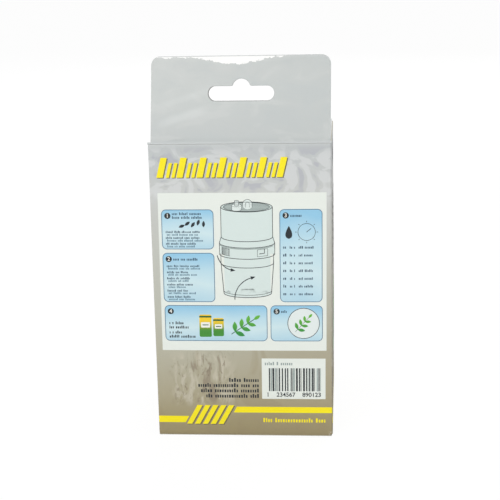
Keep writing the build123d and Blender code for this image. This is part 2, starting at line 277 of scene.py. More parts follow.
def coated_tone(finish):
    """The printed tone of the board, with its mottling, stripes, whitened creases and painted
    shade.
    """
    x, y, floor_z = finish.places()
    across, along, _ = finish.places("Normal", 1.0)
    z = floor_z - artwork_foot
    travel = y * across - x * along
    stops = [(height / TONES_TOP, *colour) for height, *colour in print_and_shade_tones]
    warm = x.rise(-30.0, 45.0) * z.within(-30.0, 120.0, 80.0) * 0.32
    tone = finish.layers(finish.ramp(z / TONES_TOP, stops), (warm, 150, 134, 100))
    narrow = x.size().rise(44.75, 44.98)
    slanted = travel - (z - STRIPE_MIDDLE) * STRIPE_SLANT - narrow * SIDE_SHIFT
    low = z.within(*STRIPE_LOW, 0.15) * slanted.fall(STRIPE_ENDS[0] - 0.1, STRIPE_ENDS[0])
    high = z.within(*STRIPE_HIGH, 0.15) * slanted.rise(STRIPE_ENDS[1], STRIPE_ENDS[1] + 0.1)
    flecks = finish.noise(0.9, (1, 1, 3.5), 4.0).rise(0.54, 0.66)
    crease = x.size().rise(44.0, 44.8) * y.size().rise(42.9, 43.7)
    crushed = z.fall(0.6, 2.8) * x.rise(42.4, 44.6) * finish.noise(1.1).rise(0.42, 0.52)
    return finish.layers(
        mottled(finish, tone, travel, z),
        # Painted shade: the narrow walls are darker, more so towards the foot.
        (narrow * (0.16 + z.fall(15.0, 140.0) * 0.46), 88, 80, 62),
        (low + high, *YELLOW),
        (crease * flecks * 0.30, 222, 221, 214),
        (crushed * 0.7, 226, 222, 208),
    )


def coat(finish, tone, roughness, dents=0.0):
    """Coats a tone with gloss, through which fibres and the slight waves of board are felt."""
    fibres = finish.noise(0.5, (3, 3, 1), 2.0)
    waves = finish.noise(26.0, detail=1.0)
    finish.vary("Base Color", tone)
    finish.vary("Roughness", roughness)
    finish.relief(fibres * FIBRE_SHARE + waves - dents, BOARD_RELIEF)
    return finish.material


BOARD_GLOSS = {"Specular IOR Level": 0.4}
wall_coat = Finish("wall_coat", BOARD_GLOSS)
scuff = wall_coat.noise(3.0, detail=5.0)
coated_board = coat(wall_coat, coated_tone(wall_coat), 0.50 + scuff * 0.08)
print("stripes:", STRIPE_LOW, STRIPE_HIGH, "mm up")

# %% [markdown]
# The inside of the carton is uncoated, and cut edges show the core. The lids stay the
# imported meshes, so one finish serves both of their sides: the normal says which side is up.

# %% Bare board, cut edges and lids


def bare_tone(finish, light, dark):
    """Fibres and small flecks of uncoated board."""
    flecks = finish.noise(0.9, detail=6.0).rise(0.56, 0.72)
    tone = finish.mix(finish.noise(14.0), paint(*light), paint(*dark))
    return finish.layers(tone, (flecks * 0.35, 176, 170, 152))


def bare_finish(name, light, dark, roughness):
    """Uncoated board with a dull surface."""
    finish = Finish(name, {"Specular IOR Level": 0.25})
    finish.vary("Base Color", bare_tone(finish, light, dark))
    finish.vary("Roughness", roughness + finish.noise(5.0) * 0.08)
    finish.relief(finish.noise(0.35, (2, 2, 1), 3.0), 0.04)
    return finish.material


def lid_finish(name, facing):
    """Coated print on the side that faces up, where facing is 1, or down, where it is -1."""
    finish = Finish(name, BOARD_GLOSS)
    outside = (finish.places("Normal", 1.0)[2] * facing).rise(0.5, 0.8)
    bare = bare_tone(finish, (222, 220, 208), (208, 205, 192))
    tone = finish.mix(outside, bare, coated_tone(finish))
    return coat(finish, tone, 0.84 - outside * 0.42)


bare_board = bare_finish("bare_board", (226, 224, 214), (214, 211, 198), 0.8)
cut_core = bare_finish("cut_core", (230, 229, 221), (206, 203, 192), 0.88)
# Painted shade: a dark grey core for the slot's cut faces and the tab's top edge.
shaded_cut_core = bare_finish("shaded_cut_core", (128, 126, 119), (92, 90, 84), 0.88)
top_lid_board = lid_finish("top_lid_board", 1.0)
bottom_lid_board = lid_finish("bottom_lid_board", -1.0)
print("board finishes:", len(bpy.data.materials))

# %% [markdown]
# ## Bowed walls
# Folded board is never quite flat: its creases push the middle of each wall outward.
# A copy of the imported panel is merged, cut into a grid by planes, and bowed. The print is
# laid with the same rule, so it can never sink into the board. A wall is given by its turn
# in degrees, its distance from the carton's middle and half its width.

# %% The bow of the walls and the cuts it needs
BOW = 0.35 * MM
GRID = 6.0 * MM
MERGE = 0.002 * MM
SHARP = radians(28)
walls = {
    "back": (0.0, half_depth, half_width),
    "right": (90.0, half_width, half_depth),
    "front": (180.0, half_depth, half_width),
    "left": (-90.0, half_width, half_depth),
}


def bow(half, across, up):
    """How far a wall of a given half width stands out at a place on it."""
    side = 1 - (across / half) ** 2
    rise = 1 - (2 * up / carton_top - 1) ** 2
    return BOW * max(side, 0) * max(rise, 0)


def on_wall(wall, across, out, up):
    """The place that lies across, out from and up a bowed wall."""
    turn, reach, half = walls[wall]
    flat = Vector((across, -reach - out - bow(half, across, up), up))
    return Matrix.Rotation(radians(turn), 3, "Z") @ flat


def cut_grid(shape, spacing):
    """Cuts a mesh by upright and level planes, so that it can bend."""
    for axis in (Vector((1, 0, 0)), Vector((0, 1, 0)), Vector((0, 0, 1))):
        reach = [vert.co.dot(axis) for vert in shape.verts]
        first = int(min(reach) // spacing) + 1
        for index in range(first, int(max(reach) // spacing) + 1):
            parts = shape.verts[:] + shape.edges[:] + shape.faces[:]
            cut = axis * index * spacing
            bmesh.ops.bisect_plane(shape, geom=parts, plane_co=cut, plane_no=axis)


def soften(shape):
    """Shades gentle bends smooth and keeps true edges sharp."""
    shape.normal_update()
    for face in shape.faces:
        face.smooth = True
    for edge in shape.edges:
        edge.smooth = edge.is_manifold and edge.calc_face_angle() < SHARP


def add_object(name, data):
    """A new object of the scene, from a mesh, a lamp or a lens."""
    made = bpy.data.objects.new(name, data)
    bpy.context.scene.collection.objects.link(made)
    return made


def make_object(name, shape, materials):
    """Turns a bmesh into an object of the scene."""
    mesh = bpy.data.meshes.new(name)
    shape.to_mesh(mesh)
    shape.free()
    for material in materials:
        mesh.materials.append(material)
    return add_object(name, mesh)


def make_piece(name, shape, materials, body):
    """Turns a bmesh into an object that rides on a body."""
    piece = make_object(name, shape, materials)
    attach(piece, body)
    return piece


def copy_of(node):
    """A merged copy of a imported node's mesh."""
    shape = bmesh.new()
    shape.from_mesh(frame["nodes"][node].data)
    bmesh.ops.remove_doubles(shape, verts=shape.verts, dist=MERGE)
    return shape


def sort_faces(shape, outward):
    """Gives outer faces slot 0, cut edges slot 1 and inner faces slot 2."""
    for face in shape.faces:
        facing = outward(face)
        face.material_index = 0 if facing > 0.5 else 2 if facing < -0.5 else 1


# %% [markdown]
# The side walls carry half of each corner crease, so their outer faces are those that look
# away from the carton's middle. On the two large faces the cut edges do so too, and there
# only the faces square to the wall count. At the back, each side wall's corner is drawn up
# to the tab's crease, where folding presses the boards together.

# %% Replace the four walls


def away_from_middle(face):
    """About 1 on faces that look away from the carton's middle, and -1 inside."""
    middle = face.calc_center_median()
    return (face.normal.x * middle.x + face.normal.y * middle.y) / half_depth


CORNER_ROUND = 1.2 * MM
CORNER_GAP = 0.02 * MM


def close_corner(panel):
    """Draws the top of a side wall's back corner up to the top of the carton."""
    top = max(vert.co.z for vert in panel.verts)
    for vert in panel.verts:
        if vert.co.z > top - CORNER_GAP and vert.co.y < CORNER_ROUND + CORNER_GAP - half_depth:
            vert.co.z = carton_top - CORNER_GAP


wall_panels = {
    "outer_back_panel": ("back", lambda face: -face.normal.y),
    "front_panel": ("front", lambda face: face.normal.y),
    "right_side_panel": ("right", away_from_middle),
    "left_side_panel": ("left", away_from_middle),
}
for node, (wall, outward) in wall_panels.items():
    turn, _, half = walls[wall]
    upright = Matrix.Rotation(radians(turn), 3, "Z")
    panel = copy_of(node)
    if abs(turn) == 90.0:
        close_corner(panel)
    cut_grid(panel, GRID)
    for vert in panel.verts:
        across = (upright.transposed() @ vert.co).x
        vert.co += upright @ Vector((0, -bow(half, across, vert.co.z), 0))
    panel.normal_update()
    sort_faces(panel, outward)
    soften(panel)
    sheet = make_piece(f"{node}_sheet", panel, [coated_board, cut_core, bare_board], "carton")
    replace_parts(sheet, node)
    print(sheet.name, len(sheet.data.polygons), "faces")

# %% [markdown]
# ## Hang tab
# The tab is two plies glued face to face. It has been handled: its top curls a little towards
# whoever pulls at it, and it leans to one side, where its crease has tired. The plies are
# bent as the walls are. The curl keeps them off the lid when the tab is folded down, and the
# right edge leans only half as far, so that it clears the open flap beside it.
# Cut faces well inside the outline belong to the hanging slot. They and the top edge get a
# dark grey core: painted shade.

# %% Bend the two plies
CURL = 1.0 * MM
CURL_START = 0.62
TAB_DRIFT = (0.15 * MM, 0.95 * MM)
TAB_NARROW = 0.3 * MM
EDGE_HOLD = 0.53
RIM = 6.0 * MM
TOP_EDGE = 0.5 * MM


def settle(place):
    """Where a handled tab carries a place: curled outward, drawn in and leaning to the right."""
    share = (place.z - tab_low.z) / (tab_high.z - tab_low.z)
    bend = max(share - CURL_START, 0) / (1 - CURL_START)
    narrow = TAB_NARROW * (1 - share) * place.x / tab_high.x
    drift = TAB_DRIFT[0] + (TAB_DRIFT[1] - TAB_DRIFT[0]) * share
    drift *= 1 - EDGE_HOLD * share * max(place.x, 0) / tab_high.x
    return Vector((place.x - narrow + drift, place.y - CURL * bend**2, place.z))


def is_slot(face):
    """True for the cut faces of the hanging slot."""
    middle = face.calc_center_median()
    across = tab_low.x + RIM < middle.x < tab_high.x - RIM
    return face.material_index == 1 and across and tab_low.z + RIM < middle.z < tab_high.z - RIM


def bent_ply(node, facing):
    """A bent copy of one ply, with slot 3 for the slot's faces and the top edge."""
    ply = copy_of(node)
    cut_grid(ply, GRID)
    for vert in ply.verts:
        vert.co = settle(vert.co)
    ply.normal_update()
    sort_faces(ply, lambda face: face.normal.y * facing)
    for face in ply.faces:
        top = face.calc_center_median().z > tab_high.z - TOP_EDGE
        if is_slot(face) or (face.material_index == 1 and top):
            face.material_index = 3
    soften(ply)
    return ply


outer_ply = bent_ply("hang_tab_outer_ply", -1)
inner_ply = bent_ply("hang_tab_inner_ply", 1)
slot_places = [
    vert.co / MM
    for face in outer_ply.faces
    if face.material_index == 3 and face.calc_center_median().z < tab_high.z - RIM
    for vert in face.verts
]
slot_left, slot_right = (end(place.x for place in slot_places) for end in (min, max))
slot_foot, slot_crown = (end(place.z for place in slot_places) for end in (min, max))
print("slot:", round(slot_right - slot_left, 1), "by", round(slot_crown - slot_foot, 1), "mm")

# %% [markdown]
# A painted glare lies along the top edge as a white band, with a paler painted highlight
# below it. The band is ragged, so its lower edge follows noise. Long soft streaks are painted
# sheen. Painted shade lies round the slot, strongest at its left end: it
# follows the distance to the slot's outline, which is a rounded bar with a round bump.

# %% Finish of the tab
tab_top = tab_high.z / MM
SLOT_RADIUS = 3.5
BUMP_RADIUS = 4.4


def slot_rim(x, z):
    """How much painted shade lies on the board, by how near it is to the slot's outline."""
    across = x - (slot_left + slot_right) / 2
    past_end = (across.size() - ((slot_right - slot_left) / 2 - SLOT_RADIUS)).math("MAXIMUM", 0.0)
    above = z - (slot_foot + SLOT_RADIUS)
    bar = (past_end * past_end + above * above).math("POWER", 0.5) - SLOT_RADIUS
    over = z - (slot_crown - BUMP_RADIUS)
    bump = (across * across + over * over).math("POWER", 0.5) - BUMP_RADIUS
    rim = bar.math("MINIMUM", bump).fall(0.10, 0.55)
    left_end = x.fall(slot_left + 0.8, slot_left + 3.2)
    low_side = z.fall(slot_foot, slot_foot + 0.8)
    return rim * (left_end * 0.62 + low_side * 0.20 + x.fall(slot_left + 9.0, slot_right) * 0.20)


def tab_finish(name):
    """Coated print with a painted glare band under the top edge, painted sheen and painted shade
    round the slot.
    """
    finish = Finish(name, BOARD_GLOSS)
    x, _, z = finish.places()
    below = tab_top - z
    # Painted glare: a ragged white band under the top edge, which is also rougher and slightly
    # dented.
    band_noise = finish.noise(1.5, (1.7, 1, 1), 6.0, 1.0)
    hollow = (x + 1.5).size().fall(2.0, 21.0) * 3.0
    depth = (hollow + 0.9 + (band_noise - 0.5) * 3.0) * x.within(-42.0, 26.0, 6.0)
    glare_band = (depth - below).rise(-0.12, 0.12) * below.rise(0.30, 0.50)
    # Painted highlight: a paler fringe just under the glare band.
    near = (depth + 1.6 - below).rise(0.0, 2.4) * below.rise(0.0, 0.3)
    haze = finish.noise(13.0, (1.6, 1, 0.8), 3.0, 0.8)
    # Painted sheen: two soft lighter diagonal streaks on the left of the tab.
    sheen_streaks = []
    for drop, wide, share in ((33.5, 3.4, 0.42), (25.0, 2.4, 0.22)):
        off = (below - drop + (x + 42.0) * 0.30).size()
        sheen_streak = off.fall(0.4, wide) * x.within(-44.0, -10.0, 12.0)
        sheen_streaks.append((sheen_streak * share, 219, 222, 220))
    tone = finish.layers(
        coated_tone(finish),
        (x.rise(-35.0, 40.0) * 0.45, 190, 195, 194),
        (haze.rise(0.48, 0.66) * 0.40, 190, 196, 196),
        (haze.fall(0.34, 0.48) * 0.30, 211, 213, 211),
        *sheen_streaks,
        (near * 0.35, 216, 219, 217),
        # Painted shade round the slot.
        (slot_rim(x, z), 84, 83, 78),
        (glare_band, 252, 252, 250),
    )
    return coat(finish, tone, 0.48 + glare_band * 0.18, glare_band * 0.12)


tab_board = tab_finish("tab_board")
for node, ply, board, slot in (
    ("hang_tab_outer_ply", outer_ply, tab_board, "printed_board"),
    ("hang_tab_inner_ply", inner_ply, bare_board, "plain_board"),
):
    boards = [board, cut_core, bare_board, shaded_cut_core]
    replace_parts(make_piece(f"{node}_sheet", ply, boards, "hang_tab"), node)
print("tab top:", round(tab_top, 1), "mm")

# %% [markdown]
# A creased ply leaves a small bead along the fold. It is a thin bar about the crease's own
# axis, so it closes the gap to the wall at every angle of the tab.

# %% Bead along the tab's crease
crease = next(joint for joint in frame["joints"] if joint["name"] == "hang_tab_crease")
crease_place = Vector(crease["pos_m"])
bead_radius = crease_place.z - carton_top - 0.01 * MM


def add_rod(shape, sides, radius, length, place):
    """Adds a closed round bar about its own Z axis, at a place."""
    sizes = {"radius1": radius, "radius2": radius, "depth": length}
    bmesh.ops.create_cone(shape, cap_ends=True, segments=sides, matrix=place, **sizes)


bead_shape = bmesh.new()
add_rod(bead_shape, 20, bead_radius, 2 * half_width, Matrix.Rotation(pi / 2, 4, "Y"))
bead_middle = Vector((0.0, crease_place.y, crease_place.z))
bmesh.ops.translate(bead_shape, vec=bead_middle, verts=bead_shape.verts)
soften(bead_shape)
make_piece("tab_crease_bead", bead_shape, [coated_board], "hang_tab")
print("bead:", round(bead_radius / MM, 2), "mm")

# %% [markdown]
# ## Print
# Each colour of the print is one mesh of thin closed shapes. They are drawn flat in
# millimetres, across and up, and then laid on a bowed wall. That keeps every edge crisp
# from any distance. Each level stands one thickness of ink higher, so it says which colour
# lies over which, and every shape has its root just inside the board. A print is never
# quite square on its board: this one drifts 5 mm to the side for each metre of height.

# %% One colour of print
INK = 0.012
INK_ROOT = 0.02
PRINT_DRIFT = 0.005
PRINT_SQUARE = 105.0 * MM
STROKE_HEIGHTS = (0.7, 0.7, 0.74, 1.0)
STROKE_WIDTHS = (0.26, 0.44)
STROKE_GAP = 0.22
WORD_GAP = 0.52
STROKE_PITCH = 0.57
STROKE_MERGE = 0.0005 * MM
lid_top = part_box("top_lid")[1].z


class Print:
    """One colour of print, drawn flat and then laid on a wall or on the top lid."""

    def __init__(self, level):
        self.top = (1 + level) * INK
        self.shapes = bmesh.new()
        self.strokes = {}

    def place(self, across, up, width, height, turn=0.0, slant=0.0):
        """The matrix that takes a shape one unit wide and high to its place in the print."""
        deep = self.top + INK_ROOT
        middle = Vector((across, INK_ROOT - deep / 2, up)) * MM
        lean = Matrix.Identity(4)
        lean[0][2] = slant * height / width
        size = Matrix.Diagonal((width * MM, deep * MM, height * MM, 1.0))
        return Matrix.Translation(middle) @ Matrix.Rotation(-radians(turn), 4, "Y") @ size @ lean

    def fresh(self, known):
        """The vertices that aren't among the known ones."""
        return [vert for vert in self.shapes.verts if vert not in known]

    def block(self, across, up, width, height, slant=0.0):
        """A bar, centred at its place, whose top leans across by slant times its height."""
        place = self.place(across, up, width, height, 0.0, slant)
        bmesh.ops.create_cube(self.shapes, size=1.0, matrix=place)

    def disc(self, across, up, width, height=None, turn=0.0, sides=28):
        """A round or oval spot, or an arrow's tip that points up, where it has 3 sides."""
        place = self.place(across, up, width, height or width, turn)
        add_rod(self.shapes, sides, 0.5, 1.0, place @ Matrix.Rotation(pi / 2, 4, "X"))

    def field(self, left, low, right, high, corner):
        """A rectangle with rounded corners."""
        known = set(self.shapes.verts)
        self.block((left + right) / 2, (low + high) / 2, right - left, high - low)
        edges = {edge for vert in self.fresh(known) for edge in vert.link_edges}
        deep = INK_ROOT * MM
        upright = [edge for edge in edges if abs(edge.verts[0].co.y - edge.verts[1].co.y) > deep]
        rounding = {"affect": "EDGES", "segments": 6, "profile": 0.5, "material": -1}
        bmesh.ops.bevel(self.shapes, geom=upright, offset=corner * MM, **rounding)

    def leaf(self, across, up, length, width, turn, shape=1.0):
        """A pointed leaf from its stalk, or a drop where shape is under 1."""
        known = set(self.shapes.verts)
        bmesh.ops.create_grid(self.shapes, x_segments=12, y_segments=1, size=0.5)
        faces = [face for face in self.shapes.faces if face.verts[0] not in known]
        for vert in self.fresh(known):
            share = min(max(vert.co.x + 0.5, 0), 1)
            swell = 0.06 + sin(pi * share**shape) ** 0.9
            vert.co = Vector((share, 0.5, vert.co.y * swell))
        grown = bmesh.ops.extrude_face_region(self.shapes, geom=faces)["geom"]
        moved = [part for part in grown if isinstance(part, bmesh.types.BMVert)]
        bmesh.ops.translate(self.shapes, vec=(0.0, -1.0, 0.0), verts=moved)
        place = self.place(across, up, length, width, turn)
        bmesh.ops.transform(self.shapes, matrix=place, verts=self.fresh(known))

    def line(self, points, width=0.3, closed=False):
        """A drawn line of a given width through points, each given across and up."""
        if width not in self.strokes:
            self.strokes[width] = bpy.data.curves.new("stroke", "CURVE")
        spline = self.strokes[width].splines.new("POLY")
        spline.points.add(len(points) - 1)
        for point, (across, up) in zip(spline.points, points):
            point.co = (across * MM, 0.0, up * MM, 1.0)
        spline.use_cyclic_u = closed

    def figures(self, text, across, up, size):
        """Plain numbers, centred at a place."""
        letters = bpy.data.curves.new("figures", "FONT")
        letters.body = text
        letters.size = size * MM
        letters.align_x = "CENTER"
        letters.align_y = "CENTER"
        letters.offset = 0.014 * size * MM
        letters.extrude = (self.top + INK_ROOT) / 2 * MM
        middle = Vector((across, (INK_ROOT - self.top) / 2, up)) * MM
        self.take(letters, Matrix.Translation(middle) @ Matrix.Rotation(pi / 2, 4, "X"))

    def words(self, left, up, lengths, height, until=None):
        """A row of small strokes in groups, like text too small to make out."""
        known = set(self.shapes.verts)
        across = left
        for length in lengths:
            for _ in range(length):
                tall = height * random.choice(STROKE_HEIGHTS)
                width = height * random.uniform(*STROKE_WIDTHS)
                self.block(across + width / 2, up + tall / 2, width, tall)
                across += width + height * STROKE_GAP
            across += height * WORD_GAP
        if until:
            end = across - height * (STROKE_GAP + WORD_GAP)
            move = ((until - end) * MM, 0.0, 0.0)
            bmesh.ops.translate(self.shapes, vec=move, verts=self.fresh(known))

    def take(self, curve, place):
        """Adds a curve's mesh to the drawing."""
        holder = bpy.data.objects.new("drawn", curve)
        drawn = bpy.data.meshes.new_from_object(holder)
        bpy.data.objects.remove(holder)
        drawn.transform(place)
        known = set(self.shapes.verts)
        self.shapes.from_mesh(drawn)
        bmesh.ops.remove_doubles(self.shapes, verts=self.fresh(known), dist=STROKE_MERGE)

    def lay(self, name, wall, material, body):
        """Lays the drawing on a wall or on the top lid and makes it a piece."""
        for width, curve in self.strokes.items():
            curve.dimensions = "3D"
            curve.bevel_depth = width / 2 * MM
            curve.bevel_resolution = 1
            curve.use_fill_caps = True
            self.take(curve, Matrix.Diagonal((1.0, 2 * self.top / width, 1.0, 1.0)))
        cut_grid(self.shapes, GRID)
        for vert in self.shapes.verts:
            across, out, up = vert.co.x, -vert.co.y, vert.co.z
            if wall == "lid":
                vert.co = Vector((across, up, lid_top + out))
            else:
                askew = PRINT_DRIFT * (up - PRINT_SQUARE)
                vert.co = on_wall(wall, across + askew, out, up + artwork_foot * MM)
        self.shapes.normal_update()
        bmesh.ops.recalc_face_normals(self.shapes, faces=self.shapes.faces)
        make_piece(name, self.shapes, [material], body)


def on_oval(across, up, wide, high, turn):
    """The point on an oval at an angle in degrees."""
    return (across + wide * cos(radians(turn)), up + high * sin(radians(turn)))


def arc(across, up, wide, high, start=0.0, end=360.0, steps=28):
    """Points on an oval, from one angle to another in degrees."""
    turns = [start + (end - start) * step / steps for step in range(steps + 1)]
    return [on_oval(across, up, wide, high, turn) for turn in turns]


# %% [markdown]
# Inks share one kind of finish: a flat colour under the same gloss coating as the board,
# slightly uneven as offset printing is, with the board's own waves showing through. An ink
# may blend from one colour to another between two heights.

# %% Finishes of the inks


def ink_finish(name, colour, upper=None, low=0.0, high=1.0):
    """An ink, or a blend from one ink below to another above between two heights."""
    finish = Finish(name, BOARD_GLOSS)
    grain = finish.noise(0.7)
    tone = paint(*colour)
    if upper:
        z = finish.places()[2] - artwork_foot
        tone = finish.mix(z.rise(low, high), tone, paint(*upper))
    tone = finish.layers(tone, ((grain - 0.35) * 0.03, 255, 255, 255))
    return coat(finish, tone, 0.37 + grain * 0.08)


plain_inks = {
    "white": (0, 230, 235, 228),
    "shade": (1, 104, 101, 74),
    "field_edge": (1, 82, 118, 146),
    "feeder_fill": (1, 214, 227, 223),
    "yellow": (2, *YELLOW),
    "feeder_grey": (2, 150, 163, 160),
    "feeder_pale": (3, 222, 232, 228),
    "pale_disc": (3, 226, 234, 232),
    "feeder_line": (4, 46, 54, 56),
    "fine_text": (4, 88, 122, 142),
    "text": (4, 38, 68, 92),
    "dark": (4, 26, 34, 40),
    "over": (5, 240, 240, 232),
    "dark_green": (5, 18, 92, 44),
}
inks = {
    name: (level, ink_finish(f"{name}_ink", colour))
    for name, (level, *colour) in plain_inks.items()
}
inks["green"] = (4, ink_finish("leaf_green", (34, 138, 58), (112, 190, 58), 52.0, 68.0))
inks["packet"] = (4, ink_finish("packet_ink", (62, 140, 46), (246, 206, 42), 56.0, 62.0))
print("inks:", len(inks))

# %% [markdown]
# The blue fields fade from a stronger blue at the top left to a pale blue low on the right,
# so each gets a ramp of its own between its lower and upper edges.

# %% Blue fields
FIELD_CORNER = 2.4
FIELD_EDGE = 0.36
field_blues = [
    (0.0, 176, 212, 228), (0.40, 206, 229, 234), (0.68, 188, 220, 232), (1.0, 148, 200, 228),
]


def blue_finish(name, left, low, right, high):
    """A blue that fades down and across a field."""
    finish = Finish(name, BOARD_GLOSS)
    x, _, floor_z = finish.places()
    drift = finish.noise(18.0, detail=1.0)
    across = (x - (left + right) / 2).size() / (right - left)
    share = (floor_z - artwork_foot - low) / (high - low) + (drift - 0.5) * 0.25 + across * 0.12
    return coat(finish, finish.ramp(share, field_blues), 0.37 + drift * 0.08)


# %% [markdown]
# An artwork gathers the sheets of one wall, one for each ink, and lays them together. Every
# wall needs the same few things on it, so these are its methods: fields, headings, rows of
# small text, sprigs, seeds and the bars that join the two stripes.

# %% The artwork of one wall
LETTER = 1.1
WIDE_BAR = (0.32, 1.0)
NARROW_BAR = (0.165, 0.74)
BAR_GAP = 0.115
BAR_SLANT = 0.24
SHADE_DROP = (0.05, 0.04)


def word_row(room, height):
    """Random word lengths that fill about room millimetres."""
    lengths = []
    used = 0.0
    while used < room - 3 * height:
        count = random.randint(3, 8)
        lengths.append(count)
        used += (count * STROKE_PITCH + WORD_GAP) * height
    return lengths


class Artwork:
    """Everything printed on one wall of the carton, or on its top lid."""

    def __init__(self, wall, body="carton"):
        self.wall = wall
        self.body = body
        self.sheets = {}

    def ink(self, name):
        """The sheet of one ink."""
        if name not in self.sheets:
            self.sheets[name] = Print(inks[name][0])
        return self.sheets[name]

    def blue_field(self, name, left, low, right, high):
        """A blue field with a darker line round it."""
        self.ink("field_edge").field(left, low, right, high, FIELD_CORNER)
        blue = Print(2)
        inner = (left + FIELD_EDGE, low + FIELD_EDGE, right - FIELD_EDGE, high - FIELD_EDGE)
        blue.field(*inner, FIELD_CORNER - FIELD_EDGE)
        finish = blue_finish(f"{self.wall}_{name}_blue", left, low, right, high)
        blue.lay(f"{self.wall}_{name}_field", self.wall, finish, self.body)

    def number_spot(self, number, across, up):
        """A white number on a dark spot."""
        self.ink("dark").disc(across, up, 3.1)
        self.ink("over").figures(str(number), across, up, 2.8)

    def heading(self, left, up, tall, groups, ink="yellow"):
        """Slanted bars in groups of one wide and two narrow, where a name would stand."""
        across = left
        for index in range(3 * groups + 1):
            wide, high = (tall * part for part in (NARROW_BAR if index % 3 else WIDE_BAR))
            middle, centre = across + wide / 2, up + high / 2
            self.ink(ink).block(middle, centre, wide, high, BAR_SLANT)
            middle, centre = middle + SHADE_DROP[0] * tall, centre - SHADE_DROP[1] * tall
            self.ink("shade").block(middle, centre, wide, high, BAR_SLANT)
            across += wide + BAR_GAP * tall

    def text_rows(self, ink, left, top, rows, room, pitch, height=LETTER):
        """Rows of small text below a height, each of a random length within the room."""
        for row in range(rows):
            lengths = word_row(random.uniform(0.66 * room, room), height)
            self.ink(ink).words(left, top - (row + 1) * pitch, lengths, height)

    def sprig(self, across, up, size, turn):
        """A stalk with leaves on both sides."""
        pairs = 3
        for index in range(pairs + 1):
            share = index / pairs
            stem = on_oval(across, up, size * share, size * share, turn)
            length = size * (0.46 - 0.12 * share)
            for side in (-1, 1) if index < pairs else (0,):
                spread = turn + side * (58 - 16 * share)
                self.ink("green").leaf(*stem, length, length * 0.42, spread)
                tip = on_oval(*stem, length * 0.8, length * 0.8, spread)
                self.ink("dark_green").line([stem, tip], 0.022 * size)
        ends = [on_oval(across, up, reach, reach, turn) for reach in (-0.2 * size, size)]
        self.ink("dark_green").line(ends, 0.04 * size)

    def seeds(self, count, start, step, sway, size, turns):
        """A row of seeds that sway to one side and back, each turned further than the last."""
        ways = list(zip(start, step, sway))
        for index in range(count):
            place = [first + index * ahead + index % 2 * aside for first, ahead, aside in ways]
            self.ink("dark").leaf(*place, *size, turns[0] + index * turns[1])

    def stripe_bars(self, shift=0.0):
        """Slanted bars that join the two stripes round the foot."""
        tall = 1.15 * (STRIPE_HIGH[1] - STRIPE_LOW[0])
        bars = 5
        pitch = (STRIPE_ENDS[1] - STRIPE_ENDS[0]) / (bars + 0.35)
        wide = 0.66 * pitch
        for index in range(bars):
            across = shift + STRIPE_ENDS[0] + (index + 0.68) * pitch
            middle = (STRIPE_LOW[0] + STRIPE_HIGH[1]) / 2
            self.ink("yellow").block(across, middle, wide, tall, STRIPE_SLANT)
            self.ink("shade").block(across + 0.5, middle - 0.4, wide, tall, STRIPE_SLANT)

    def lay(self):
        """Lays every sheet of the wall."""
        for name, sheet in self.sheets.items():
            sheet.lay(f"{self.wall}_{name}_print", self.wall, inks[name][1], self.body)
        print(self.wall, "sheets:", len(self.sheets))


# %% [markdown]
# The feeder drawing is an elevation seen slightly from above: ovals for the rims and
# straight sides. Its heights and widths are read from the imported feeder, so the drawing
# shows the real product.

# %% Draw the feeder
FLATNESS = 0.2


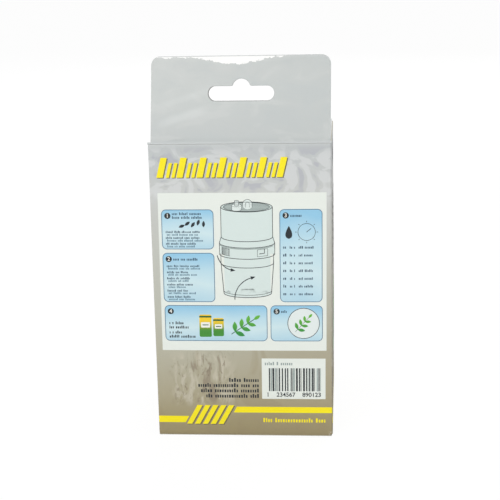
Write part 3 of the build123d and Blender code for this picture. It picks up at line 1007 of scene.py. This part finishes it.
def draw_feeder(art, middle, foot, scale):
    """The feeder at a place on the print."""
    ink_line = art.ink("feeder_line")
    pale = art.ink("feeder_pale")
    grey = art.ink("feeder_grey")
    thin = 1.15 * scale

    def level(node, end):
        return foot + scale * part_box(node)[end].z / MM

    def half(node):
        return scale * (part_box(node)[1].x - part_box(node)[0].x) / 2 / MM

    def spot(radius, angle, up):
        """A place on the front of a rim, at an angle from the left edge."""
        return on_oval(middle, up, radius, radius * FLATNESS, 180.0 + angle)

    def front(radius, up, start=0, end=180, width=thin, ink=ink_line):
        """A line round the front of a rim, between two angles from the left edge."""
        ink.line(arc(middle, up, radius, radius * FLATNESS, 180.0 + start, 180.0 + end), width)

    base = level("lower_cup", 0)
    ring_low = level("bayonet_ring", 0)
    ring_high = level("bayonet_ring", 1)
    rim = level("slotted_lid", 1)
    tube = half("slotted_lid")
    ring = half("bayonet_ring")
    cup = half("lower_cup") * 0.985
    sole = cup * 0.91
    shoulder = ring_high + (rim - ring_high) * 0.17
    collar = base + (ring_low - base) * 0.77

    fill = art.ink("feeder_fill")
    fill.disc(middle, rim, 2 * tube, 2 * tube * FLATNESS)
    parts = [(rim, shoulder, 2 * tube), (shoulder, ring_low, 1.97 * ring)]
    for high, low, wide in (*parts, (ring_low, base, 1.93 * sole)):
        fill.block(middle, (high + low) / 2, wide, high - low)
    fill.disc(middle, base, 2 * sole, 2 * sole * FLATNESS)

    ink_line.line(arc(middle, rim, tube, tube * FLATNESS), thin, True)
    inner = tube * 0.9
    grey.disc(middle, rim, 2 * inner, 2 * inner * FLATNESS)
    slats = 7
    for index in range(1, slats):
        drop = inner * FLATNESS * (2 * index / slats - 1)
        reach = inner * 0.93 * (1 - (drop / (inner * FLATNESS)) ** 2) ** 0.5
        pale.line([(middle - reach, rim + drop), (middle + reach, rim + drop)], 0.7 * scale)
    ink_line.line(arc(middle, rim, inner, inner * FLATNESS), 0.7 * thin, True)
    outline = [(tube, rim), (tube, shoulder), (ring, ring_high), (ring, ring_low)]
    outline += [(cup, ring_low), (cup, collar), (sole, base)]
    for side in (-1, 1):
        ink_line.line([(middle + side * wide, up) for wide, up in outline], thin)
    for index in (1, 2, 3, 5, 6):
        front(*outline[index])
    front(sole, base + 3.6 * scale, 6, 174, 0.7 * thin)
    front(ring, ring_high - 1.6 * scale, 12, 160, 2.2 * scale, grey)

    window_low = ring_low + 3.0 * scale
    window_high = ring_high - 3.4 * scale
    for start, end in ((24, 50), (112, 138)):
        corners = [spot(ring, start, up) for up in (window_low, window_high)]
        corners += [spot(ring, end, up) for up in (window_high, window_low)]
        ink_line.line(corners, 0.8 * thin, True)
    vents = 6
    for index in range(vents):
        angle = 27 + 20 * index / (vents - 1)
        ink_line.line([spot(ring, angle, window_low), spot(ring, angle, window_high)], 0.9 * thin)
    step = (window_low + window_high) / 2 - scale
    hook = [spot(ring, 116, step), spot(ring, 129, step), spot(ring, 129, window_high)]
    ink_line.line(hook, 1.2 * thin)

    plug = middle - 0.38 * tube
    for wide, low, high in ((7.2, -4.0, 2.2), (3.0, 2.2, 9.0)):
        reach, bottom, top = wide * scale, rim + low * scale, rim + high * scale
        pale.block(plug, (bottom + top) / 2, 2 * reach, top - bottom)
        for up in (bottom, top):
            pale.disc(plug, up, 2 * reach, 0.6 * reach)
        sides = [(plug - reach, top), *arc(plug, bottom, reach, 0.3 * reach, 180, 360)]
        ink_line.line([*sides, (plug + reach, top)], 0.8 * thin)
        ink_line.line(arc(plug, top, reach, 0.3 * reach), 0.8 * thin, True)
    eye = middle + 0.04 * tube
    for wide, tall, ink in ((7.0, 7.4, pale), (2.9, 3.4, grey)):
        reach, high, crown = wide * scale, tall * scale, rim + 3.8 * scale
        ink.block(eye, rim + 1.6 * scale, 2 * reach, 4.4 * scale)
        ink.disc(eye, crown, 2 * reach, 2 * high)
        feet = [(eye + side * reach, rim - 0.6 * scale) for side in (1, -1)]
        ink_line.line([feet[0], *arc(eye, crown, reach, high, 0, 180), feet[1]], 0.8 * thin)


# %% [markdown]
# ## Printed back
# The back carries a white field with a line drawing of the feeder between blue fields of
# small text. Text too small to make out becomes rows of strokes, and the pictures are
# plain leaves, drops, seeds and pots. A field is given by its left, low, right and high
# sides in millimetres.

# %% Fields, numbers and heading of the back
panel_field = (-41.1, 45.7, 42.3, 127.2)
code_field = (9.4, 19.7, 41.8, 41.5)
blue_fields = {
    "upper_left": (-39.6, 98.6, -13.5, 118.9),
    "lower_left": (-39.6, 71.3, -13.5, 96.8),
    "right": (19.1, 71.3, 40.3, 118.9),
    "low_wide": (-39.4, 50.7, 12.6, 69.6),
    "low_small": (14.2, 50.7, 40.4, 69.6),
}
back = Artwork("back")
back.ink("white").field(*panel_field, 0.2)
back.ink("white").field(*code_field, 0.2)
for number, (name, sides) in enumerate(blue_fields.items(), start=1):
    back.blue_field(name, *sides)
    back.number_spot(number, sides[0] + 3.1, sides[3] - 3.2)
back.heading(-40.2, 134.9, 9.9, 6)
back.stripe_bars()
dark = back.ink("dark")
print("blue fields:", len(blue_fields))

# %% [markdown]
# The drawing stands between the fields, and two arrows lead to its lower cup, where the
# feed goes.

# %% Drawing and arrows
draw_feeder(back, 2.9, 75.6, 0.335)
for points, turn in (
    (arc(-3.4, 98.4, 9.0, 10.6, 196.0, 262.0), -98.0),
    (arc(8.2, 73.0, 11.8, 11.4, 182.0, 104.0), -74.0),
):
    dark.line(points, 0.5)
    dark.disc(*points[-1], 2.1, 3.2, turn, 3)
print("arrows laid out")

# %% [markdown]
# Small text is laid in rows. The first rows of a field are heavier than the rest: their
# drop under the field's top, number, room and pitch come first in the table. The other
# rows come in pairs of a darker and a lighter one, each with its height and room.

# %% Rows of small text in the fields
for name, head, pairs, pitch, dark_row, pale_row in (
    ("upper_left", (0.9, 2, 18.0, 1.9), 3, 3.0, (9.4, 18.0), (8.0, 21.0)),
    ("lower_left", (2.2, 1, 15.0, 1.75), 6, 3.2, (19.2, 16.0), (17.9, 18.0)),
):
    left, low, _, high = blue_fields[name]
    back.text_rows("text", left + 5.4, high - head[0], *head[1:], 1.35)
    for pair in range(pairs):
        for ink, inset, (up, room) in (("text", 2.0, dark_row), ("fine_text", 2.6, pale_row)):
            back.text_rows(ink, left + inset, low + up - pair * pitch, 1, room, 1.0)
left, low, _, high = blue_fields["right"]
back.text_rows("text", left + 5.4, high - 2.2, 1, 12.0, 1.75, 1.35)
for row in range(7):
    for inset, lengths, height in ((1.7, [2], 1.5), (5.0, [2, 1], 1.3), (9.4, [3, 6], 1.3)):
        back.ink("text").words(left + inset, low + 27.6 - row * 4.0, lengths, height)
left, low, _, _ = blue_fields["low_wide"]
for up, lengths in ((8.8, [1, 1, 5]), (6.6, [3, 8]), (3.9, [1, 1, 4]), (1.7, [6, 9])):
    dark.words(left + 2.2, low + up, lengths, 1.5)
left, _, _, high = blue_fields["low_small"]
back.ink("text").words(left + 5.4, high - 3.9, [4], 1.35)
print("small text:", LETTER, "mm high")

# %% [markdown]
# The address lines end against the code field, so each row is set from its right end. The
# code itself is a row of bars of one to three units, over plain counting numbers.

# %% Address rows, code and the row at the foot
for up, lengths in ((28.8, [5, 7]), (25.95, [6, 11, 4, 3]), (23.1, [5, 10, 8]), (20.2, [3, 14, 4])):
    dark.words(0.0, up, lengths, 2.1, until=7.7)
back.ink("feeder_grey").words(11.0, 37.9, [5, 1, 6], 1.8)
UNIT = 0.3
code_middle, code_height = 30.1, 12.4
across, code_end = 13.0, 39.6
while across < code_end:
    wide = random.choice((1, 1, 1, 2, 2, 3)) * UNIT
    shade = dark if random.random() < 0.7 else back.ink("feeder_grey")
    shade.block(across + wide / 2, code_middle, wide, code_height)
    across += wide + random.choice((1, 1, 2, 3)) * UNIT
dark.figures("1    234567    890123", 25.6, 21.9, 3.2)
back.ink("yellow").words(0.0, 6.9, [4, 15, 4], 2.3, until=41.7)
print("code field:", code_field)

# %% [markdown]
# The upper left field has seeds, the right one a dial with a drop, the wide field pots and
# a sprig, and the small one a leaf in a ring.

# %% Pictures on the back
left, _, _, high = blue_fields["upper_left"]
back.seeds(5, (left + 8.6, high - 9.0), (3.1, 0), (0, 0.9), (3.2, 1.4), (20, 17))
left, _, _, high = blue_fields["right"]
dial = (left + 13.4, high - 11.6)
dark.line(arc(*dial, 4.3, 4.3), 0.34, True)
for turn in range(0, 360, 45):
    dark.line([on_oval(*dial, far, far, turn) for far in (4.9, 5.7)], 0.34)
dark.line([dial, (left + 15.6, high - 9.8)], 0.42)
dark.leaf(left + 4.6, high - 15.0, 6.4, 3.2, 90, 0.6)
left, low, _, _ = blue_fields["low_wide"]
for across, up, wide, tall in ((20.6, 2.2, 6.2, 11.8), (27.2, 2.6, 5.4, 9.6)):
    middle, foot = left + across, low + up
    start, end = middle - wide / 2, middle + wide / 2
    back.ink("packet").field(start, foot, end, foot + tall, 0.8)
    back.ink("dark_green").block(middle, foot + tall - 1.1, wide, 0.9)
    label = (start + 0.8, foot + 0.42 * tall, end - 0.8, foot + 0.66 * tall)
    back.ink("over").field(*label, 0.4)
    back.ink("dark_green").block(middle, foot + 0.54 * tall, wide * 0.5, 0.5)
back.sprig(left + 35.6, low + 5.0, 11.5, 34.0)
_, low, right, high = blue_fields["low_small"]
ring_middle = (right - 9.6, (low + high) / 2)
back.ink("pale_disc").disc(*ring_middle, 16.0)
dark.line(arc(*ring_middle, 7.9, 7.9, 0, 360, 40), 0.6, True)
back.sprig(ring_middle[0] - 3.0, ring_middle[1] - 3.2, 8.2, 48.0)
back.lay()

# %% [markdown]
# ## Front, sides and top lid
# A retail carton sells from its front, so the same heading, drawing and sprigs stand there
# at a larger scale. The photograph doesn't show these faces; they repeat the back's parts.

# %% Print on the front
front_field = (-36.5, 40.0, 36.5, 126.0)
front_art = Artwork("front")
front_art.heading(-35.5, 131.4, 12.4, 5)
front_art.ink("field_edge").field(*front_field, 4.0)
inner_field = [side + edge for side, edge in zip(front_field, (0.6, 0.6, -0.6, -0.6))]
front_white = Print(2)
front_white.field(*inner_field, 3.4)
front_white.lay("front_picture_field", "front", inks["white"][1], "carton")
draw_feeder(front_art, -6.0, 43.0, 0.56)
front_art.sprig(21.5, 86.0, 22.0, 66.0)
front_art.sprig(24.5, 52.0, 17.0, 72.0)
front_art.seeds(4, (18.5, 46.5), (4.2, 0), (0, 1.2), (4.2, 1.8), (18, 24))
front_art.text_rows("dark", -36.0, 38.0, 3, 44.0, 3.0, 1.9)
front_art.ink("yellow").words(0.0, 6.9, [4, 15, 4], 2.3, until=41.7)
front_art.stripe_bars()
front_art.lay()

# %% [markdown]
# The photograph shows the right wall as a thin strip, grey above and brown below, so the
# narrow walls have no large fields: dark text, a drawing and a sprig stand on the plain tone.

# %% Print on the two sides
for wall in ("right", "left"):
    side_art = Artwork(wall)
    side_art.heading(-18.6, 136.0, 7.6, 5, "dark")
    side_art.number_spot(6 if wall == "right" else 7, -33.4, 122.8)
    side_art.text_rows("dark", -30.6, 124.6, 1, 34.0, 2.4, 1.6)
    for pair in range(8):
        for column in (-35.0, 2.5):
            side_art.text_rows("dark", column, 119.0 - pair * 4.1, 1, 30.0, 1.2, 1.15)
            side_art.text_rows("shade", column + 0.6, 117.4 - pair * 4.1, 1, 32.0, 1.2, 1.15)
    side_art.sprig(-24.0, 40.0, 30.0, 62.0)
    draw_feeder(side_art, 16.0, 37.0, 0.29)
    side_art.seeds(4, (-3.0, 42.0), (0, 6.0), (4.4, 0), (4.0, 1.8), (24, 31))
    side_art.text_rows("dark", -37.0, 30.0, 3, 52.0, 3.0, 1.6)
    side_art.stripe_bars(SIDE_SHIFT)
    side_art.lay()

# %% [markdown]
# The top lid opens towards the front, so its heading reads from the back.

# %% Print on the top lid
lid_art = Artwork("lid", "top_lid")
lid_art.heading(-33.0, 4.0, 10.4, 6)
lid_art.text_rows("dark", -33.0, 0.0, 2, 62.0, 3.2, 1.9)
lid_art.ink("yellow").block(0.0, -22.0, 66.0, 3.3)
lid_art.lay()

# %% [markdown]
# ## Feeder plastics
# The cups are clear moulded plastic, and the ring, lid, eye and stopper are dark and matt.
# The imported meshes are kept; only their finishes are made here.

# %% Finishes of the feeder


def moulded_finish(name, colour, roughness, constants):
    """Moulded plastic with faint flow marks and a fine surface."""
    finish = Finish(name, constants)
    flow = finish.noise(9.0, (1, 1, 2.5), 2.0, 0.5)
    finish.vary("Base Color", finish.mix(flow * 0.16, colour, paint(255, 255, 255)))
    finish.vary("Roughness", flow * 0.10 + roughness)
    finish.relief(finish.noise(0.4, (1, 1, 1), 2.0), 0.03)
    return finish.material


clear_constants = {"Transmission Weight": 0.85, "IOR": 1.49}
clear_plastic = moulded_finish("clear_plastic", paint(222, 236, 230), 0.14, clear_constants)
frame_plastic = moulded_finish("frame_plastic", paint(62, 68, 66), 0.46, {})
soft_plastic = moulded_finish("soft_plastic", paint(46, 50, 50), 0.62, {})

# %% [markdown]
# Each node gets its finish on its material slots. The nodes that a bowed sheet replaces
# need none.

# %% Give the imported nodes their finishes
flaps = [f"{end}_dust_flap_{side}" for end in ("top", "bottom") for side in ("left", "right")]
for material, nodes in (
    (bare_board, ["back_panel", "top_tuck", "bottom_tuck", *flaps]),
    (top_lid_board, ["top_lid"]),
    (bottom_lid_board, ["bottom_lid"]),
    (clear_plastic, ["lower_cup", "upper_cup"]),
    (frame_plastic, ["bayonet_ring", "slotted_lid", "hanger_eye", "stopper"]),
    (soft_plastic, ["tether_strap"]),
):
    for node in nodes:
        slots = frame["nodes"][node].data.materials
        slots.clear()
        slots.append(material)
    print(material.name, "on nodes:", len(nodes))

# %% [markdown]
# ## Floor, light and camera
# A catalogue picture stands on white with soft light from the front. The floor shows the
# camera a near white, and still takes the carton's soft shadow.

# %% Floor
FLOOR_REACH = 9.0
FLOOR_GLOW = 0.9
floor_white = {"Base Color": (0.86, 0.86, 0.86, 1), "Roughness": 0.9, "Specular IOR Level": 0.1}
floor_finish = Finish("floor_white", floor_white)
rays = floor_finish.node("ShaderNodeLightPath").outputs
seen, mirrored, through = (
    Term(floor_finish, rays[f"Is {kind} Ray"]) for kind in ("Camera", "Glossy", "Transmission")
)
glow = floor_finish.node("ShaderNodeEmission", None, {"Color": (1, 1, 1, 1), "Strength": 1.04})
share = ((seen + mirrored + through) * FLOOR_GLOW).math("MINIMUM", FLOOR_GLOW)
shaders = {0: share, 1: floor_finish.shader.outputs[0], 2: glow.outputs[0]}
both = floor_finish.node("ShaderNodeMixShader", None, shaders)
floor_finish.feed(floor_finish.tree.nodes["Material Output"].inputs["Surface"], both.outputs[0])
floor_shape = bmesh.new()
bmesh.ops.create_grid(floor_shape, x_segments=1, y_segments=1, size=FLOOR_REACH)
floor = make_object("floor", floor_shape, [floor_finish.material])
print("floor reach:", FLOOR_REACH, "m")

# %% [markdown]
# The surroundings give most of the light, and three large soft lamps give it a direction.
# Their powers are set so that a colour renders about as it is written. The camera sees the
# surroundings as white.

# %% Surroundings and lamps
SURROUND = 0.50
world = bpy.data.worlds.new("studio")
bpy.context.scene.world = world
world.use_nodes = True
world_tree = world.node_tree
background = world_tree.nodes["Background"]
background.inputs["Color"].default_value = (1, 1, 1, 1)
path = world_tree.nodes.new("ShaderNodeLightPath")
level = world_tree.nodes.new("ShaderNodeMapRange")
level.inputs["To Min"].default_value = SURROUND
level.inputs["To Max"].default_value = 1.0
world_tree.links.new(path.outputs["Is Camera Ray"], level.inputs["Value"])
world_tree.links.new(level.outputs[0], background.inputs["Strength"])


def soft_lamp(name, place, aim, size, power):
    """A square area lamp at a place, turned towards a point."""
    lamp = bpy.data.lights.new(name, "AREA")
    lamp.size = size
    lamp.energy = power
    holder = add_object(name, lamp)
    holder.location = place
    holder.rotation_mode = "QUATERNION"
    holder.rotation_quaternion = (Vector(aim) - Vector(place)).to_track_quat("-Z", "Y")


carton_middle = (0.0, 0.0, 0.1)
soft_lamp("front_left", (-0.9, -1.5, 1.1), carton_middle, 1.2, 13.2)
soft_lamp("front_right", (0.5, -1.7, 0.8), carton_middle, 1.0, 6.8)
soft_lamp("above_behind", (0.3, 1.5, 1.2), carton_middle, 1.4, 15.0)
print("lamps:", len(bpy.data.lights))

# %% [markdown]
# The camera's place was worked out from the corners of the carton in the photograph, which
# is 500 pixels square: it stands in front of the printed back, a little to the right, and
# looks down.

# %% Camera
PIXELS = 500
FOCAL_PIXELS = 1200.0
SENSOR = 36.0
camera_place = Vector((49.96, -620.76, 242.61)) * MM
down = 0.2435
swing = -0.079
roll = -0.0208
lens = bpy.data.cameras.new("camera")
lens.sensor_width = SENSOR
lens.lens = FOCAL_PIXELS / PIXELS * SENSOR
lens.clip_start = 0.01
camera = add_object("camera", lens)
forward = Vector((sin(swing) * cos(down), cos(swing) * cos(down), -sin(down)))
level_right = Vector((cos(swing), -sin(swing), 0))
level_up = level_right.cross(forward)
right_hand = level_right * cos(roll) + level_up * sin(roll)
upward = level_up * cos(roll) - level_right * sin(roll)
turned = Matrix((right_hand, upward, -forward)).transposed().to_4x4()
camera.matrix_world = Matrix.Translation(camera_place) @ turned
bpy.context.scene.camera = camera
bpy.context.scene.view_settings.view_transform = "Standard"
print("lens:", round(lens.lens, 1), "mm")
